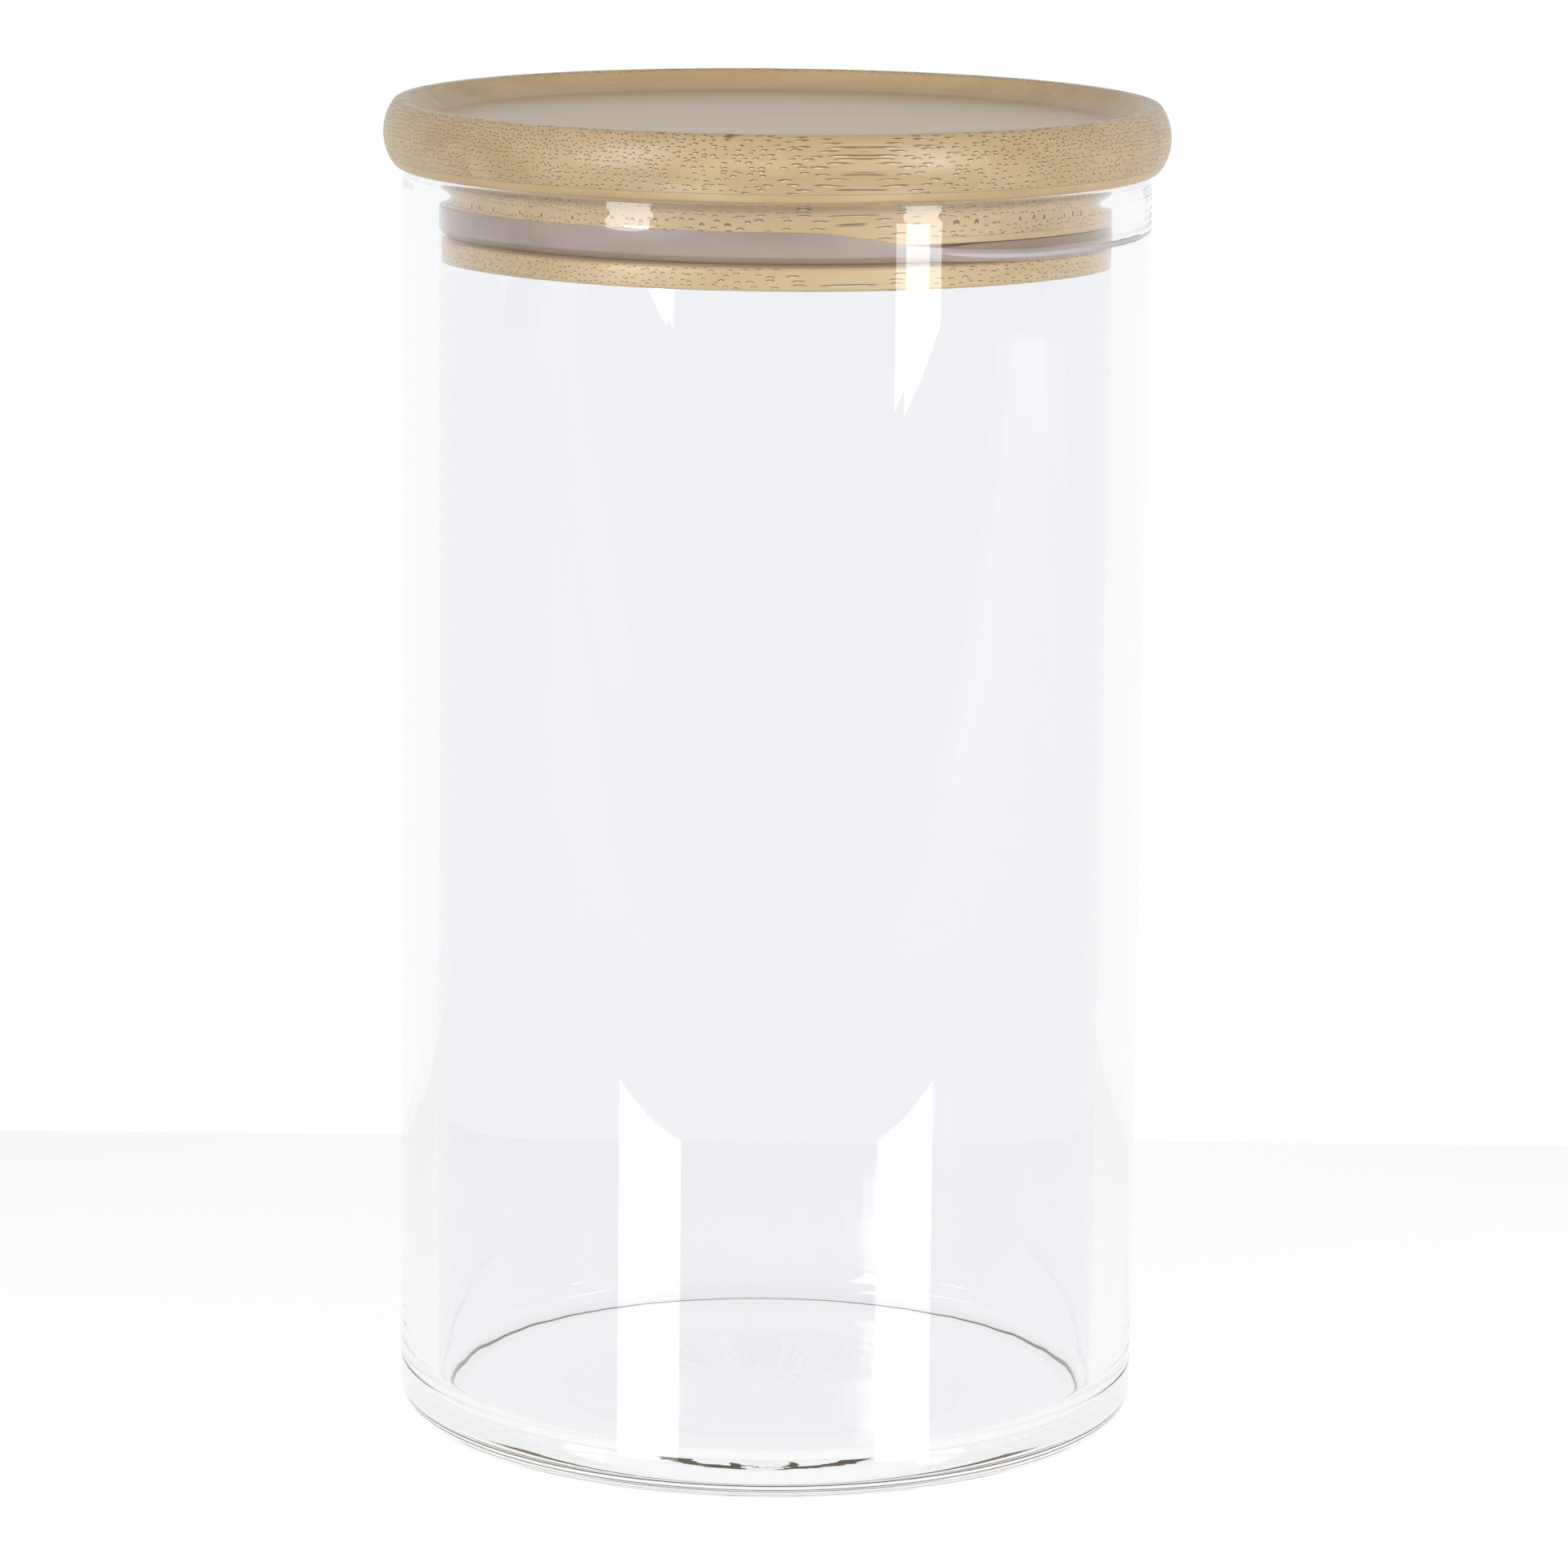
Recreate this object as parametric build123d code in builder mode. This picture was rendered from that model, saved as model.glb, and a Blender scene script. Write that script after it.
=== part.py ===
from build123d import *
import os

# Lidded glass canister: a straight-sided jar closed by a turned bamboo lid whose plug carries a silicone seal.
# Millimetres, +Z up. The origin is the centre of the jar's foot, on the surface that it stands on.

# Glass jar
jar_radius = 50.0
jar_height = 170.4
wall = 5.2
base_thickness = 4.2
foot_corner = 4.5
floor_corner = 4.5
rim_rounding = 0.6
rim_draw_in = 0.3
draw_in_height = 2.0
straight_rim = 0.9
foot_inner_radius = 28.0
push_up = 1.1

# Bamboo lid, turned from two glued boards: the cap above the joint and the plug below it
lid_thickness = 20.4
flange_thickness = 8.8
flange_radius = 52.4
edge_radius = 7.0
joint_above_rim = 1.3
panel_radius = 45.5
panel_depth = 2.8
crest_width = 1.5
crest_easing = 0.4
lip_easing = 0.4
plug_radius = 44.6
plug_easing = 0.5

# Bamboo strips, side by side across the grain
grain_angle = 11.35
strip_width = 24.2
front_glue_line = -49.5
cap_glue_lines = 5
plug_glue_lines = 3

# Seal groove in the plug, and the lip ring that sits in it
lower_land = 2.7
groove_height = 4.7
groove_depth = 3.0
seal_inner_clearance = 0.15
seal_bore_clearance = 0.2
seal_height = 4.5
seal_back = 1.0
seal_back_height = 2.4
seal_root_height = 1.2
lip_thickness = 0.9
lip_tip_easing = 0.25
contact_start = 1.7
seal_foot_width = 2.0

# Heights and radii that follow from them
bore_radius = jar_radius - wall
rim_radius = jar_radius - rim_draw_in
lid_top = jar_height + flange_thickness
plug_bottom = lid_top - lid_thickness
panel_height = lid_top - panel_depth
joint_height = jar_height + joint_above_rim
groove_bottom = plug_bottom + lower_land
groove_top = groove_bottom + groove_height
groove_radius = plug_radius - groove_depth
half_flange = flange_thickness / 2
edge_centre_radius = flange_radius - edge_radius
edge_end_radius = edge_centre_radius + (edge_radius**2 - half_flange**2) ** 0.5
seal_inner_radius = groove_radius + seal_inner_clearance
seal_outer_radius = bore_radius - seal_bore_clearance
seal_top = groove_bottom + seal_height

os.makedirs("parts", exist_ok=True)

# Jar: one revolved wall. The underside rises in a smooth wave from the foot ring to the push-up at its middle,
# and the fire-polished rim draws in slightly in another.
with BuildPart() as glass_jar:
    with BuildSketch(Plane.XZ) as jar_section:
        with BuildLine():
            crown = TangentArc((0, push_up), (foot_inner_radius / 2, push_up / 2), tangent=(1, 0))
            hollow = TangentArc(crown @ 1, (foot_inner_radius, 0), tangent=crown % 1)
            draw_in_top = jar_height - straight_rim
            shoulder = TangentArc(
                (jar_radius, draw_in_top - draw_in_height),
                ((jar_radius + rim_radius) / 2, draw_in_top - draw_in_height / 2),
                tangent=(0, 1),
            )
            waist = TangentArc(shoulder @ 1, (rim_radius, draw_in_top), tangent=shoulder % 1)
            Polyline(hollow @ 1, (jar_radius, 0), shoulder @ 0)
            Polyline(
                waist @ 1,
                (rim_radius, jar_height),
                (bore_radius, jar_height),
                (bore_radius, base_thickness),
                (0, base_thickness),
                crown @ 0,
            )
        make_face()
        fillet(jar_section.vertices().group_by(Axis.X)[-1].sort_by(Axis.Y)[0], radius=foot_corner)
        bore_corners = jar_section.vertices().filter_by_position(Axis.X, bore_radius, bore_radius)
        fillet(bore_corners.sort_by(Axis.Y)[0], radius=floor_corner)
        fillet(jar_section.vertices().group_by(Axis.Y)[-1], radius=rim_rounding)
    revolve(axis=Axis.Z)

glass_jar.part.label = "glass_jar"
export_step(glass_jar.part, "parts/glass_jar.step")

# Turned form of the whole lid: grooved plug, bullnosed flange, crest, and a cove down to the sunk top panel.
with BuildPart() as turned_lid:
    with BuildSketch(Plane.XZ) as lid_section:
        with BuildLine():
            edge = ThreePointArc(
                (edge_end_radius, jar_height),
                (flange_radius, jar_height + half_flange),
                (edge_end_radius, lid_top),
            )
            crest = Line(edge @ 1, (edge_end_radius - crest_width, lid_top))
            cove = TangentArc((panel_radius, panel_height), crest @ 1, tangent=(1, 0))
            Polyline(
                cove @ 0,
                (0, panel_height),
                (0, plug_bottom),
                (plug_radius, plug_bottom),
                (plug_radius, groove_bottom),
                (groove_radius, groove_bottom),
                (groove_radius, groove_top),
                (plug_radius, groove_top),
                (plug_radius, jar_height),
                edge @ 0,
            )
        make_face()
        chamfer(lid_section.vertices().group_by(Axis.Y)[-1], length=crest_easing)
        edge_corners = lid_section.vertices().filter_by_position(Axis.X, edge_end_radius - lip_easing, flange_radius)
        chamfer(edge_corners.sort_by(Axis.Y)[0], length=lip_easing)
        chamfer(lid_section.vertices().group_by(Axis.Y)[0].sort_by(Axis.X)[-1], length=plug_easing)
    revolve(axis=Axis.Z)

# Boards of the lid as (name, underside, top, glue lines counted from the front, first glue line)
boards = [
    ("cap", joint_height, lid_top, cap_glue_lines, front_glue_line),
    ("plug", plug_bottom, joint_height, plug_glue_lines, front_glue_line + strip_width),
]

# Strips: each board is ripped along its glue lines, parallel to the grain, and keeps its share of the turned form.
for board, underside, top, glue_lines, first_line in boards:
    lines = [first_line + strip_width * index for index in range(glue_lines)]
    starts = [-flange_radius - 1] + lines
    ends = lines + [flange_radius + 1]
    for number, (start, end) in enumerate(zip(starts, ends), start=1):
        with BuildPart() as strip:
            with BuildSketch(Plane.XY.offset(underside).rotated((0, 0, grain_angle))):
                with Locations((0, (start + end) / 2)):
                    Rectangle(2 * flange_radius + 2, end - start)
            extrude(amount=top - underside)
            add(turned_lid.part, mode=Mode.INTERSECT)
        strip_name = f"{board}_strip_{number}"
        strip.part.label = strip_name
        export_step(strip.part, f"parts/{strip_name}.step")

# Seal: a back band round the groove's floor and an outer lip that leans up and out to the glass, joined at the foot.
with BuildPart() as silicone_seal:
    with BuildSketch(Plane.XZ) as seal_section:
        with BuildLine():
            contact_low = groove_bottom + contact_start
            lip_inner_radius = seal_outer_radius - lip_thickness
            valley = (seal_inner_radius + seal_back, groove_bottom + seal_root_height)
            Polyline(
                valley,
                (seal_inner_radius + seal_back, groove_bottom + seal_back_height),
                (seal_inner_radius, groove_bottom + seal_back_height),
                (seal_inner_radius, groove_bottom),
                (seal_inner_radius + seal_foot_width, groove_bottom),
                (seal_outer_radius, contact_low),
                (seal_outer_radius, seal_top),
                (lip_inner_radius, seal_top),
                (lip_inner_radius, contact_low),
                valley,
            )
        make_face()
        lip_tip = seal_section.vertices().group_by(Axis.Y)[-1]
        chamfer(lip_tip, length=lip_tip_easing)
    revolve(axis=Axis.Z)

silicone_seal.part.label = "silicone_seal"
export_step(silicone_seal.part, "parts/silicone_seal.step")
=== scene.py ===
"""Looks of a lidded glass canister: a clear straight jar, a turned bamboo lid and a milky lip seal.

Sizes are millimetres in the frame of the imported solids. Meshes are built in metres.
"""

import logging
import math
from collections.abc import Callable, Sequence
from dataclasses import dataclass, field
from enum import Enum

import bmesh
import bpy
import numpy as np
from mathutils import Matrix, Vector


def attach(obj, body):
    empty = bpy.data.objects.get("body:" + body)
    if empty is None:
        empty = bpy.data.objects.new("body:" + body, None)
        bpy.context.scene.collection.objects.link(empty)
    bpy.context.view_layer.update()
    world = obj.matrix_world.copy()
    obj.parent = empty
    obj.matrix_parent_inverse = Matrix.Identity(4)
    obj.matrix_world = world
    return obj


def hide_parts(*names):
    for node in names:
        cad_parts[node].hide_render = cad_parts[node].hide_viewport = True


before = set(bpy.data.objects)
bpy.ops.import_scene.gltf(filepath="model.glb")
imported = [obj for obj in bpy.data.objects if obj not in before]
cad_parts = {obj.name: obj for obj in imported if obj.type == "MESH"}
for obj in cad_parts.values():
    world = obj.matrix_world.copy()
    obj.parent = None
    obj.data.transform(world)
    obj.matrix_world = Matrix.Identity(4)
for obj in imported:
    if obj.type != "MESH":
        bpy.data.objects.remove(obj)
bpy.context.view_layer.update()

MM = 0.001
SAME_PLACE = 1e-6
ON_AXIS = 1e-9
log = logging.getLogger("canister")

Point = tuple[float, float]
Colour = tuple[float, float, float]
Triple = tuple[float, float, float]
Shift = Callable[[Point, np.ndarray], np.ndarray]


class Body(Enum):
    """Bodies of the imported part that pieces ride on."""

    JAR = "jar"
    SEAL = "seal"
    LID = "lid"


class Slot(Enum):
    """Material slots of the record."""

    GLASS = "glass"
    SILICONE = "silicone"
    BAMBOO = "bamboo"


class Board(Enum):
    """The two boards that the lid is glued from."""

    CAP = "cap"
    PLUG = "plug"


class NodeGraph:
    """A node tree with short calls that add nodes and join their sockets."""

    def __init__(self, tree: bpy.types.NodeTree) -> None:
        """Empties the tree.

        Args:
            tree: Node tree of a material or of the world.
        """
        self.tree = tree
        self.tree.nodes.clear()

    def add(self, kind: str, **settings: object) -> bpy.types.Node:
        """Adds a node.

        Args:
            kind: Blender's name of the node type.
            settings: Values for the node's own properties.

        Returns:
            The new node.
        """
        node = self.tree.nodes.new(kind)
        for name, value in settings.items():
            setattr(node, name, value)
        return node

    def feed(self, socket: bpy.types.NodeSocket, value: object) -> None:
        """Joins an output to a socket, or sets the socket where the value is plain.

        Args:
            socket: Input of a node.
            value: Output of another node, number, vector or colour with alpha.
        """
        if isinstance(value, bpy.types.NodeSocket):
            self.tree.links.new(value, socket)
        else:
            socket.default_value = value

    def math(self, operation: str, *values: object, clamp: bool = False) -> bpy.types.NodeSocket:
        """Adds a Math node.

        Args:
            operation: Blender's name of the operation.
            values: One to three numbers or outputs.
            clamp: Whether the result is held between 0 and 1.

        Returns:
            The node's output.
        """
        node = self.add("ShaderNodeMath", operation=operation, use_clamp=clamp)
        for socket, value in zip(node.inputs, values):
            self.feed(socket, value)
        return node.outputs[0]

    def vector(self, operation: str, *values: object) -> bpy.types.Node:
        """Adds a Vector Math node.

        Args:
            operation: Blender's name of the operation.
            values: One to three vectors or outputs.

        Returns:
            The node.
        """
        node = self.add("ShaderNodeVectorMath", operation=operation)
        for socket, value in zip(node.inputs, values):
            self.feed(socket, value)
        return node

    def length(self, vector: object) -> bpy.types.NodeSocket:
        """Gives a vector's length."""
        return self.vector("LENGTH", vector).outputs["Value"]

    def scaled(self, vector: object, scale: Triple, offset: Triple = (0, 0, 0)) -> bpy.types.NodeSocket:
        """Multiplies a vector by one along each axis and adds another."""
        return self.vector("MULTIPLY_ADD", vector, scale, offset).outputs[0]

    def own_place(self) -> bpy.types.NodeSocket:
        """Gives the place in the object's own coordinates, in metres."""
        return self.add("ShaderNodeTexCoord").outputs["Object"]

    def axes(self, vector: object) -> tuple[bpy.types.NodeSocket, ...]:
        """Splits a vector.

        Args:
            vector: Output to split.

        Returns:
            Its X, Y and Z outputs.
        """
        node = self.add("ShaderNodeSeparateXYZ")
        self.feed(node.inputs["Vector"], vector)
        return tuple(node.outputs)

    def ease(self, value: object, low: float, high: float) -> bpy.types.NodeSocket:
        """Adds a smooth step from 0 at low to 1 at high; low may be the larger.

        Args:
            value: Output to step.
            low: Value that gives 0.
            high: Value that gives 1.

        Returns:
            The node's output.
        """
        node = self.add("ShaderNodeMapRange", interpolation_type="SMOOTHSTEP")
        self.feed(node.inputs["Value"], value)
        self.feed(node.inputs["From Min"], low)
        self.feed(node.inputs["From Max"], high)
        return node.outputs["Result"]

    def mix(self, factor: object, first: object, second: object) -> bpy.types.NodeSocket:
        """Adds a colour mix.

        Args:
            factor: Share of the second colour.
            first: Colour or output at factor 0.
            second: Colour or output at factor 1.

        Returns:
            The mixed colour's output.
        """
        node = self.add("ShaderNodeMix", data_type="RGBA")
        sockets = [socket for socket in node.inputs if socket.enabled]
        for socket, value in zip(sockets, (factor, first, second)):
            plain_colour = isinstance(value, tuple)
            self.feed(socket, (*value, 1.0) if plain_colour else value)
        return next(socket for socket in node.outputs if socket.enabled)

    def noise(self, vector: object, detail: float, roughness: float) -> bpy.types.Node:
        """Adds a Noise Texture at scale 1 on a vector that already has its scale.

        Args:
            vector: Coordinates in units of the pattern.
            detail: Octaves of the noise.
            roughness: Weight of the finer octaves.

        Returns:
            The node.
        """
        node = self.add("ShaderNodeTexNoise")
        self.feed(node.inputs["Vector"], vector)
        self.feed(node.inputs["Scale"], 1.0)
        self.feed(node.inputs["Detail"], detail)
        self.feed(node.inputs["Roughness"], roughness)
        return node

    def bump(self, height: object, depth: float, strength: float = 1.0) -> bpy.types.NodeSocket:
        """Adds a bump.

        Args:
            height: Output that is raised by 1 over the full depth.
            depth: That depth in millimetres.
            strength: Share of the bump that shows.

        Returns:
            The bent normal's output.
        """
        node = self.add("ShaderNodeBump")
        self.feed(node.inputs["Height"], height)
        self.feed(node.inputs["Strength"], strength)
        self.feed(node.inputs["Distance"], depth * MM)
        return node.outputs["Normal"]

    def shader(self, kind: str, sockets: dict[str, object]) -> bpy.types.NodeSocket:
        """Adds a shader.

        Args:
            kind: Blender's name of the shader's node type.
            sockets: Values or outputs for its sockets, by name.

        Returns:
            The shader's output.
        """
        node = self.add(kind)
        for name, value in sockets.items():
            self.feed(node.inputs[name], value)
        return node.outputs[0]

    def blend(self, factor: object, first: object, second: object) -> bpy.types.NodeSocket:
        """Adds a mix of two shaders.

        Args:
            factor: Share of the second shader.
            first: Shader at factor 0.
            second: Shader at factor 1.

        Returns:
            The mixed shader's output.
        """
        node = self.add("ShaderNodeMixShader")
        for socket, value in zip(node.inputs, (factor, first, second)):
            self.feed(socket, value)
        return node.outputs["Shader"]

    def show(self, shader: object, output: str = "ShaderNodeOutputMaterial") -> None:
        """Joins a shader to a new output node."""
        self.feed(self.add(output).inputs["Surface"], shader)


def new_material(name: str) -> tuple[bpy.types.Material, NodeGraph]:
    """Makes an empty node material.

    Args:
        name: Name of the material.

    Returns:
        The material and its graph.
    """
    material = bpy.data.materials.new(name)
    material.use_nodes = True
    return material, NodeGraph(material.node_tree)


@dataclass(frozen=True)
class GlassFinish:
    """Clear drawn glass with a trace of blue and faint draw lines."""

    tint: Colour = (0.932, 0.938, 0.952)
    shadow_tint: Colour = (0.955, 0.96, 0.965)
    ior: float = 1.47
    draw_line_depth: float = 0.004
    draw_lines_per_mm: float = 0.35
    draw_line_stretch: float = 60.0

    def material(self) -> bpy.types.Material:
        """Makes the glass, which lets lamps through to what is behind it.

        Returns:
            The material.
        """
        material, graph = new_material("clear_glass")
        per_metre = self.draw_lines_per_mm / MM
        density = (per_metre, per_metre, per_metre / self.draw_line_stretch)
        lines = graph.noise(graph.scaled(graph.own_place(), density), detail=2.0, roughness=0.5)
        surface = graph.shader("ShaderNodeBsdfPrincipled", {
            "Base Color": (*self.tint, 1.0),
            "Transmission Weight": 1.0,
            "Roughness": 0.0,
            "IOR": self.ior,
            "Normal": graph.bump(lines.outputs["Fac"], self.draw_line_depth),
        })
        clear = graph.shader("ShaderNodeBsdfTransparent", {"Color": (*self.shadow_tint, 1.0)})
        path = graph.add("ShaderNodeLightPath")
        for light in ("Is Diffuse Ray", "Is Shadow Ray"):
            surface = graph.blend(path.outputs[light], surface, clear)
        graph.show(surface)
        return material


@dataclass(frozen=True)
class SiliconeFinish:
    """Milky moulded silicone, slightly clouded, with a soft sheen.

    Its colour follows the radius: painted shade makes it darker where it stands clear of the glass, in the
    groove's shade, and painted light makes it palest where it wets the glass.
    """

    milk: Colour = (0.50, 0.40, 0.345)
    cloud: Colour = (0.425, 0.333, 0.283)
    cloud_range: Point = (0.35, 0.7)
    clouds_per_metre: Triple = (60.0, 60.0, 200.0)
    # Painted shade: the colour where the seal stands clear of the glass, in the groove's shade.
    painted_shade_clear_of_glass: Colour = (0.34, 0.235, 0.155)
    contact_radii: Point = (44.5, 44.68)
    # Painted light: the paler colour where the seal wets the glass.
    painted_light_where_wetted: Colour = (0.66, 0.62, 0.62)
    wet_radii: Point = (44.785, 44.82)
    ior: float = 1.41
    roughness: float = 0.42
    grit_roughness: float = 0.2
    grit_per_metre: float = 1800.0
    grit_depth: float = 0.02
    grit_strength: float = 0.4
    scatter_weight: float = 0.35
    scatter_radius: Colour = (1.0, 0.8, 0.7)
    scatter_scale: float = 0.8

    def material(self) -> bpy.types.Material:
        """Makes the silicone.

        Returns:
            The material.
        """
        material, graph = new_material("milky_silicone")
        place = graph.own_place()
        clouds = graph.noise(graph.scaled(place, self.clouds_per_metre), detail=3.0, roughness=0.55)
        grains = graph.noise(graph.scaled(place, (self.grit_per_metre,) * 3), detail=1.0, roughness=0.5)
        grit = grains.outputs["Fac"]
        milky = graph.mix(graph.ease(clouds.outputs["Fac"], *self.cloud_range), self.milk, self.cloud)
        radius = graph.length(graph.scaled(place, (1 / MM, 1 / MM, 0)))
        # Painted shade: browner where the seal stands clear of the glass.
        colour = graph.mix(graph.ease(radius, *self.contact_radii), self.painted_shade_clear_of_glass, milky)
        smoothest = self.roughness - self.grit_roughness / 2
        shell = graph.shader("ShaderNodeBsdfPrincipled", {
            # Painted light: palest where the seal wets the glass.
            "Base Color": graph.mix(graph.ease(radius, *self.wet_radii), colour, self.painted_light_where_wetted),
            "Roughness": graph.math("MULTIPLY_ADD", grit, self.grit_roughness, smoothest),
            "Subsurface Weight": self.scatter_weight,
            "Subsurface Radius": self.scatter_radius,
            "Subsurface Scale": self.scatter_scale * MM,
            "IOR": self.ior,
            "Normal": graph.bump(grit, self.grit_depth, self.grit_strength),
        })
        graph.show(shell)
        return material


@dataclass(frozen=True)
class PaintedShade:
    """A band of painted shade on the bamboo: heights where it begins, is full and ends, and its strength.
    """

    begin: float
    full: float
    end: float
    strength: float


@dataclass(frozen=True)
class BambooFinish:
    """Lacquered bamboo of one strip, with its fibre bundles along the grain.

    Places across the grain, heights and radii are millimetres. Glue lines and level lines are pairs of a
    place and a strength. The crowded heights are where the bundles get small and close, towards the culm's
    skin. Inside the pitted radii the turned face is filled and smooth, and the bare heights have no
    bundles. Densities are patterns to the millimetre along the grain, across it and upwards. A fleck that
    is far from the strip doesn't show.
    """

    name: str
    seed: int
    grain_angle: float
    glue_lines: tuple[Point, ...]
    level_lines: tuple[Point, ...]
    crowded_heights: Point
    pitted_radii: Point
    bare_heights: tuple[Point, ...] = ()
    # Bands of painted shade, where shade falls on the wood.
    painted_shades: tuple[PaintedShade, ...] = ()
    fleck: Triple = (0.0, 0.0, 1000.0)
    fleck_radii: Point = (0.9, 0.3)
    pale: Colour = (0.63, 0.47, 0.265)
    deep: Colour = (0.50, 0.35, 0.175)
    bundle: Colour = (0.15, 0.085, 0.035)
    # Colour of the pale core: the bundle's own pale colour and a painted highlight.
    sap_and_highlight: Colour = (0.88, 0.76, 0.55)
    # Colour of the painted shade bands.
    shade: Colour = (0.30, 0.19, 0.075)
    glue: Colour = (0.20, 0.12, 0.06)
    pit_strength: float = 0.9
    core_strength: float = 0.75
    bundle_spacing: Point = (0.52, 0.74)
    bundle_size: Point = (0.12, 0.145)
    crowded_spacing: Point = (0.46, 0.54)
    crowded_size: Point = (0.115, 0.15)
    bundle_scatter: float = 0.7
    least_growth: float = 0.75
    growth_spread: float = 0.5
    pit_edge: Point = (1.2, 0.8)
    core_edge: Point = (1.2, 0.5)
    core_shrink: float = 1.8
    # Painted highlight: the pale core sits this far low in the pit.
    core_highlight_drop: float = 0.75
    # Painted shade: the dark rim is full on the pit's upper side and this share of it below.
    lower_rim: float = 0.3
    smooth_share: float = 0.05
    bare_fade: float = 0.1
    shade_fade: float = 0.2
    hairline: float = 0.07
    hairline_core: float = 0.3
    seed_steps: Triple = (3.7, 17.3, 5.9)
    wander: float = 1.2
    wander_density: Triple = (0.03, 0.08, 0.08)
    streak_density: Triple = (0.025, 2.4, 2.4)
    streak_weight: float = 0.4
    streak_height: float = 0.12
    streak_roughness: float = 0.12
    patch_density: Triple = (0.012, 0.16, 0.3)
    patch_weight: float = 0.9
    patch_offset: float = -0.15
    deep_range: Point = (0.15, 0.85)
    pit_depth: float = 0.05
    pit_roughness: float = 0.1
    roughness: float = 0.38
    specular: float = 0.5
    coat: float = 0.24
    coat_roughness: float = 0.25

    def bundles(self, graph: NodeGraph, cut: object, crowded: bool) -> tuple[bpy.types.NodeSocket, ...]:
        """Adds one layer of fibre bundles: small pits across the grain and streaks along it.

        Args:
            graph: Graph of the strip's material.
            cut: Place across the grain and height, in millimetres.
            crowded: Whether this is the layer of small bundles near the skin.

        Returns:
            Outputs that are 1 in a whole pit, in its dark rim and in its pale core; the rim is the bundle's
            own dark colour with painted shade heavier on its upper side, and the core is its own pale
            colour set low as a painted highlight on the lower wall.
        """
        spacing = self.crowded_spacing if crowded else self.bundle_spacing
        size = self.crowded_size if crowded else self.bundle_size
        cells = graph.add("ShaderNodeTexVoronoi", voronoi_dimensions="2D", feature="F1")
        graph.feed(cells.inputs["Vector"], graph.scaled(cut, (1 / spacing[0], 1 / spacing[1], 0)))
        graph.feed(cells.inputs["Scale"], 1.0)
        graph.feed(cells.inputs["Randomness"], self.bundle_scatter)
        middle = graph.scaled(cells.outputs["Position"], (*spacing, 0))
        chance = graph.add("ShaderNodeSeparateColor")
        graph.feed(chance.inputs["Color"], cells.outputs["Color"])
        draw = chance.outputs["Green"]
        share = graph.ease(graph.axes(middle)[1], *self.crowded_heights)
        present = graph.math("GREATER_THAN", *((share, draw) if crowded else (draw, share)))
        growth = graph.math("MULTIPLY_ADD", chance.outputs["Red"], self.growth_spread, self.least_growth)
        away = graph.vector("SUBTRACT", cut, middle).outputs[0]
        offset = graph.scaled(away, (1 / size[0], 1 / size[1], 0))
        reach = graph.math("DIVIDE", graph.length(offset), growth)
        shrink = (self.core_shrink, self.core_shrink, 0)
        # Painted highlight: the pale core is shifted low in the pit.
        core_offset = graph.scaled(offset, shrink, (0, self.core_highlight_drop, 0))
        core_reach = graph.math("DIVIDE", graph.length(core_offset), growth)
        # Painted shade: the dark rim is heavier on the pit's upper side.
        upper_half = graph.ease(graph.axes(offset)[1], -0.5, 0.5)
        upper = graph.math("MULTIPLY_ADD", upper_half, 1 - self.lower_rim, self.lower_rim)
        pit = graph.math("MULTIPLY", graph.ease(reach, *self.pit_edge), present)
        core = graph.math("MULTIPLY", graph.ease(core_reach, *self.core_edge), present)
        rim = graph.math("MULTIPLY", pit, graph.math("SUBTRACT", 1.0, core))
        return pit, graph.math("MULTIPLY", rim, upper), core

    def shown(self, graph: NodeGraph, place: object, height: object) -> bpy.types.NodeSocket:
        """Gives how much of the bundles shows: less on smooth turned faces, none at bare heights.

        Args:
            graph: Graph of the strip's material.
            place: Place in the object's own coordinates, in millimetres.
            height: Height of that place.

        Returns:
            Output from 0 to 1.
        """
        radius = graph.length(graph.scaled(place, (1, 1, 0)))
        shown = graph.math("MAXIMUM", graph.ease(radius, *self.pitted_radii), self.smooth_share)
        for low, high in self.bare_heights:
            above = graph.ease(height, low - self.bare_fade, low + self.bare_fade)
            below = graph.ease(height, high + self.bare_fade, high - self.bare_fade)
            inside = graph.math("MULTIPLY", above, below)
            shown = graph.math("MULTIPLY", shown, graph.math("SUBTRACT", 1.0, inside))
        return shown

    def seams(self, graph: NodeGraph, across: object, height: object) -> bpy.types.NodeSocket:
        """Gives the hairlines of glue, each at its strength.

        Args:
            graph: Graph of the strip's material.
            across: Place across the grain.
            height: Height above the table.

        Returns:
            Output from 0 to 1.
        """
        total: object = 0.0
        core = self.hairline * self.hairline_core
        for axis, lines in ((across, self.glue_lines), (height, self.level_lines)):
            for place, strength in lines:
                away = graph.math("ABSOLUTE", graph.math("SUBTRACT", axis, place))
                line = graph.math("MULTIPLY", graph.ease(away, self.hairline, core), strength)
                total = graph.math("MAXIMUM", total, line)
        return total

    def material(self) -> bpy.types.Material:
        """Makes the strip's material.

        Returns:
            The material.
        """
        material, graph = new_material(f"bamboo_{self.name}")
        place = graph.scaled(graph.own_place(), (1 / MM, 1 / MM, 1 / MM))
        turn = graph.add("ShaderNodeMapping")
        graph.feed(turn.inputs["Vector"], place)
        graph.feed(turn.inputs["Rotation"], (0, 0, -math.radians(self.grain_angle)))
        grain = turn.outputs["Vector"]
        _, across, height = graph.axes(grain)
        own = tuple(self.seed * step for step in self.seed_steps)

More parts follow.
